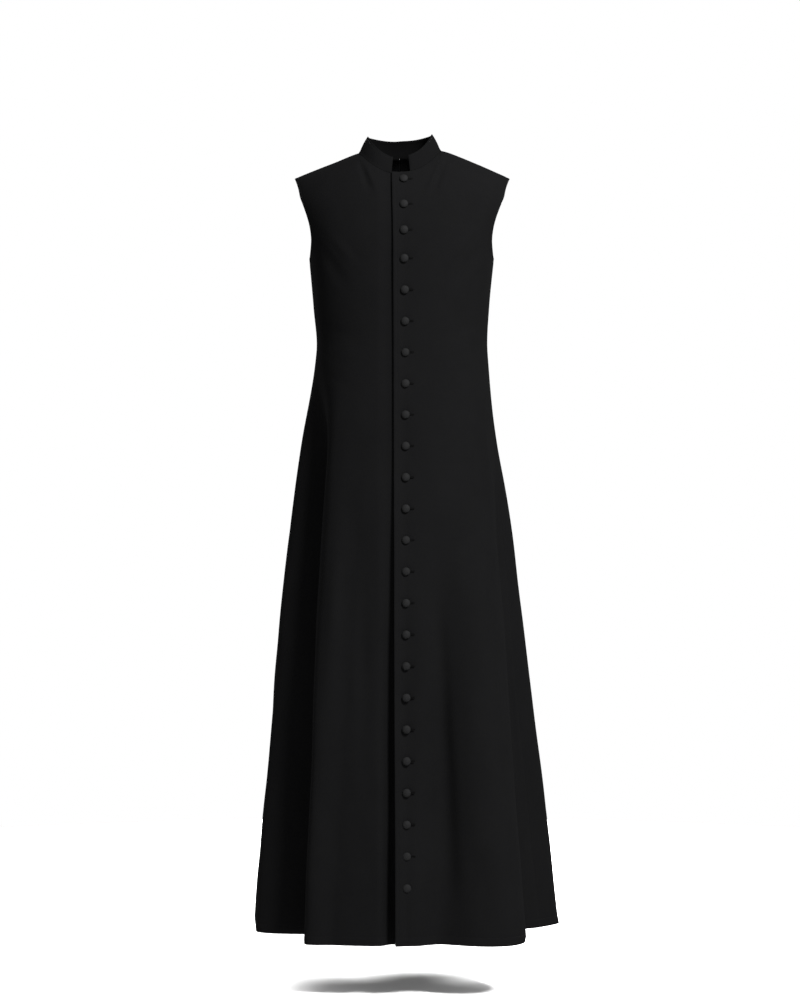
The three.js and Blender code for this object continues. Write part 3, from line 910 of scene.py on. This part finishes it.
def turned_form(name, profile, sides, wave=None):
    """A round form from (radius, height) pairs up its side, closed at both ends."""
    profile = np.asarray(profile, float)
    angles = np.linspace(0, 2 * math.pi, sides, endpoint=False)
    radii = profile[1:-1, 0][:, None] * np.ones(sides)
    heights = profile[1:-1, 1][:, None] * np.ones(sides)
    if wave is not None:
        heights = heights + wave(angles[None], profile[1:-1, 0][:, None])
    rings = np.stack([radii * np.cos(angles), radii * np.sin(angles), heights], -1)
    mesh = bmesh.new()
    rows = [[mesh.verts.new(point * MM) for point in ring] for ring in rings]
    low = mesh.verts.new((0, 0, profile[0, 1] * MM))
    high = mesh.verts.new((0, 0, profile[-1, 1] * MM))
    for i in range(sides):
        j = (i + 1) % sides
        mesh.faces.new((low, rows[0][j], rows[0][i]))
        mesh.faces.new((high, rows[-1][i], rows[-1][j]))
        for a, b in zip(rows[:-1], rows[1:]):
            mesh.faces.new((a[i], a[j], b[j], b[i]))
    data = bpy.data.meshes.new(name)
    mesh.to_mesh(data)
    mesh.free()
    return linked(name, data)


def ring_faces(rings, sides, closed=False):
    """Quads between neighbouring rings of points, and from the last to the first if closed."""
    count = rings * sides
    for ring in range(rings if closed else rings - 1):
        for side in range(sides):
            a, b = ring * sides + side, ring * sides + (side + 1) % sides
            yield a, (a + sides) % count, (b + sides) % count, b


def stitch_form():
    """One stitch, lying along X, its ends going down into the cloth."""
    half, radius, sides = STITCH["length"] / 2, STITCH["radius"], STITCH["sides"]
    shares = [-1, -0.82, -0.4, 0, 0.4, 0.82, 1]
    vertices = []
    for share in shares:
        swell = radius * (1 - 0.55 * abs(share) ** 3)
        drop = -0.4 * abs(share) ** 4
        for angle in np.linspace(0, 2 * math.pi, sides, endpoint=False):
            vertices.append((half * share, swell * math.cos(angle), swell * math.sin(angle) + drop))
    last = len(vertices) - 1
    caps = [tuple(range(sides)), tuple(range(last, last - sides, -1))]
    return small_mesh("stitch_form", vertices, faces=[*ring_faces(len(shares), sides), *caps])


def oval_place(along, straight, width):
    """A point on a buttonhole's oval, at a length along it, and the way outwards from there."""
    half = 2 * straight + math.pi * width
    side = 1 if along < half else -1
    along %= half
    if along < 2 * straight:
        centre, outward = (along - straight, -width), (0, -1)
    else:
        angle = (along - 2 * straight) / width - math.pi / 2
        outward = math.cos(angle), math.sin(angle)
        centre = straight + width * outward[0], width * outward[1]
    return np.array(centre) * side, np.array(outward) * side


def buttonhole_form():
    """A worked buttonhole: thread wound round an oval slit, lying in XY, with a dark plate in the
    slit that is painted shade.
    """
    turns, sides, width = BUTTONHOLE["turns"], BUTTONHOLE["sides"], BUTTONHOLE["width"] / 2
    straight = BUTTONHOLE["length"] / 2 - width
    length = 4 * straight + 2 * math.pi * width
    vertices, middles = [], []
    for turn in range(turns):
        centre, outward = oval_place(length * turn / turns, straight, width)
        middles.append(centre)
        radius = BUTTONHOLE["thread"] * (1 + 0.12 * (turn % 2))
        for side in range(sides):
            angle = 2 * math.pi * side / sides
            out = centre + outward * radius * 1.5 * math.cos(angle)
            vertices.append((*out, radius * math.sin(angle)))
    faces = list(ring_faces(turns, sides, closed=True))
    # the slit between the threads: a dark plate whose rim is hidden in them, painted shade standing
    # for the shadow inside the open slit
    upper, lower = len(vertices), len(vertices) + turns
    for z in (-0.1, -BUTTONHOLE["depth"]):
        vertices += [(x, y, z) for x, y in middles]
    for turn in range(turns):
        after = (turn + 1) % turns
        faces.append((upper + turn, lower + turn, lower + after, upper + after))
    for turn in range(turns // 2 - 1):
        strip = (turn, turn + 1, turns - 2 - turn, turns - 1 - turn)
        faces.append(tuple(upper + i for i in strip))
        faces.append(tuple(lower + i for i in reversed(strip)))
    return small_mesh("buttonhole_form", vertices, faces=faces)


def button_form():
    """A domed button: cloth drawn over it, gathered at the back on a short shank."""
    r, h = BUTTON["radius"], BUTTON["thickness"]
    profile = [
        [0, -0.2], [1.6, -0.2], [1.75, 0.5], [3.2, 0.75], [r * 0.8, 0.75], [r * 0.95, 1.0], [r, 1.6],
        [r * 0.985, 2.1], [r * 0.93, 2.85], [r * 0.83, 3.55], [r * 0.7, 4.15], [r * 0.55, 4.6],
        [r * 0.38, 4.93], [r * 0.2, 5.13], [0, h],
    ]

    def gathers(angle, radius):
        waves = BUTTON["gather_height"] * np.sin(BUTTON["gathers"] * angle)
        return waves * np.clip(radius / r, 0, 1) ** 4

    return turned_form("button_form", profile, BUTTON["sides"], gathers)


# ---- Making the pieces ----
# One black twill in several tones: the left front's lighter tone is painted light, and the collar's
# darker tone is painted shade
LEFT_CLOTH_PAINTED_LIGHT = twill("black_twill_left_painted_light", (0.0019, 0.0019, 0.00197))
RIGHT_CLOTH = twill("black_twill_right", (0.0018, 0.0018, 0.00187))
BACK_CLOTH = twill("black_twill_back", (0.0018, 0.0018, 0.00187))
COLLAR_CLOTH_PAINTED_SHADE = twill("black_twill_collar_painted_shade", (0.0016, 0.0016, 0.00166))
# The button covering is the robe's twill; its lighter tone is painted light on the domes
BUTTON_CLOTH_PAINTED_LIGHT = twill("button_covering_painted_light", (0.0027, 0.0027, 0.0028), 0.002, 0.03, "Object")
THREAD = thread("black_sewing_thread", (0.0026, 0.0026, 0.0027))
# Near-black buttonhole twist: partly the silk's own black, partly painted shade of the open slit,
# which its dark plate also shows
SILK_AND_SLIT_SHADE = thread("buttonhole_twist_and_painted_slit_shade", (0.0005, 0.0005, 0.0005))

CUTS = {
    # name: material, flat width, flat length, area, what it hangs from
    "front_left": (LEFT_CLOTH_PAINTED_LIGHT, 0.46, 1.46, 0.41, ["back_left_cloth", "stand_collar"]),
    "front_right": (RIGHT_CLOTH, 0.46, 1.46, 0.41, ["back_right_cloth", "stand_collar"]),
    "back_left": (BACK_CLOTH, 0.50, 1.46, 0.45, ["front_left_cloth", "stand_collar"]),
    "back_right": (BACK_CLOTH, 0.48, 1.46, 0.43, ["front_right_cloth", "stand_collar"]),
}
for name in PIECES:
    make_panel(name).data.materials.append(CUTS[name][0])
collar, collar_outer, collar_normal, collar_ups = make_collar()
collar.data.materials.append(COLLAR_CLOTH_PAINTED_SHADE)


def sewing_lines():
    """Lines of stitches at the armholes, the hem, the lap's edge and the collar's top."""
    lines = []
    for name, panel in PANELS.items():
        lifted = panel["outer"] + panel["normals"] * STITCH["lift"]
        lines.append(lifted[panel["arm_start"] + 3:-3, -1 - ARM_STEPS.index(ARMHOLE_STITCH)])
        lines.append(lifted[HEM_STEPS.index(HEM_STITCH), 6:-3])
        if name == "front_left":
            lap_edge = lifted[4:-4, LAP_STEPS.index(EDGE_STITCH)]
    row = np.argmin(np.abs(COLLAR["height"] - collar_ups - COLLAR_STITCH))
    collar_top = (collar_outer[row] + collar_normal * STITCH["lift"])[7:-7]
    return [*lines, lap_edge, collar_top]


stitch, button, hole = stitch_form(), button_form(), buttonhole_form()
lines = line_carrier("stitch_lines", sewing_lines())
stitches = grown("edge_and_hem_stitches", lines, stitch_tree(), stitch, Stitch=stitch,
                 Pitch=STITCH["pitch"] * MM, Uneven=0.07, Seed=7, Material=THREAD)

copies = place_tree()
seats = place_carrier("button_places", BUTTON_POINTS + BUTTON_NORMALS * 0.1, BUTTON_NORMALS)
buttons = grown("covered_buttons", seats, copies, button, Copy=button, Turn=1.5, Uneven=0.03,
                Seed=3, Material=BUTTON_CLOTH_PAINTED_LIGHT)

hole_x = button_x(BUTTON_Z) + BUTTONHOLE["start"] + BUTTONHOLE["length"] / 2
hole_points, hole_normals = front_place(hole_x, BUTTON_Z)
slits = place_carrier("hole_places", hole_points - hole_normals * 0.25, hole_normals)
holes = grown("worked_buttonholes", slits, copies, hole, Copy=hole, Turn=0.03, Uneven=0.04,
              Seed=5, Material=SILK_AND_SLIT_SHADE)

# ---- What each piece stands for ----
for name, (_, width, length, area, hangs_from) in CUTS.items():
    obj = PANELS[name]["obj"]
    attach(obj, "root")
    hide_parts(name)
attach(collar, "root")
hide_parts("collar")
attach(buttons, "root")
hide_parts(*[f"button_{i:02d}" for i in range(1, BUTTON_ROWS["count"] + 1)])
for obj in (stitches, holes):
    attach(obj, "root")


# ---- Studio ----
FLOOR = dict(radius=2600, thickness=20, z=-1525)
LIGHT_NAMES = ["name", "place", "target", "size", "watts"]
LIGHTS = [
    ["key_light", (1.9, -2.9, 2.2), (0, 0, -0.6), 1.2, 1150],
    ["left_back_light", (2.4, 3.2, 1.3), (0, 0, -0.7), 1.6, 420],
    ["right_back_light", (-2.4, 3.2, 1.3), (0, 0, -0.7), 1.6, 520],
]
CAMERA = dict(place=(0, -5.0, -0.640), lens=98.36, sensor=36)


def make_floor():
    across, down = FLOOR["radius"], -FLOOR["thickness"]
    obj = turned_form("studio_floor", [[0, down], [across, down], [across, 0], [0, 0]], 96)
    obj.location.z = FLOOR["z"] * MM
    nodes = Nodes("pale_floor")
    cloudy = nodes.noise("Object", 0.7, 3.0)
    nodes.shade(Base_Color=nodes.between(cloudy, [0.66] * 3, [0.69] * 3), Roughness=0.9)
    obj.data.materials.append(nodes.material)


def studio():
    make_floor()
    scene = bpy.context.scene
    scene.world = bpy.data.worlds.new("white_studio")
    scene.world.use_nodes = True
    background = next(n for n in scene.world.node_tree.nodes if n.type == "BACKGROUND")
    background.inputs["Color"].default_value = (1, 1, 1, 1)
    background.inputs["Strength"].default_value = 1.0
    scene.view_settings.view_transform = "Standard"
    for row in LIGHTS:
        values = dict(zip(LIGHT_NAMES, row))
        light = bpy.data.lights.new(values["name"], "AREA")
        light.shape, light.size, light.energy = "DISK", values["size"], values["watts"]
        lamp = linked(values["name"], light)
        lamp.location = values["place"]
        aim = Vector(values["target"]) - Vector(values["place"])
        lamp.rotation_euler = aim.to_track_quat("-Z", "Y").to_euler()
    camera = bpy.data.cameras.new("camera")
    camera.sensor_fit, camera.sensor_height = "VERTICAL", CAMERA["sensor"]
    camera.lens = CAMERA["lens"]
    scene.camera = linked("camera", camera)
    scene.camera.location = CAMERA["place"]
    scene.camera.rotation_euler = (math.pi / 2, 0, 0)


studio()
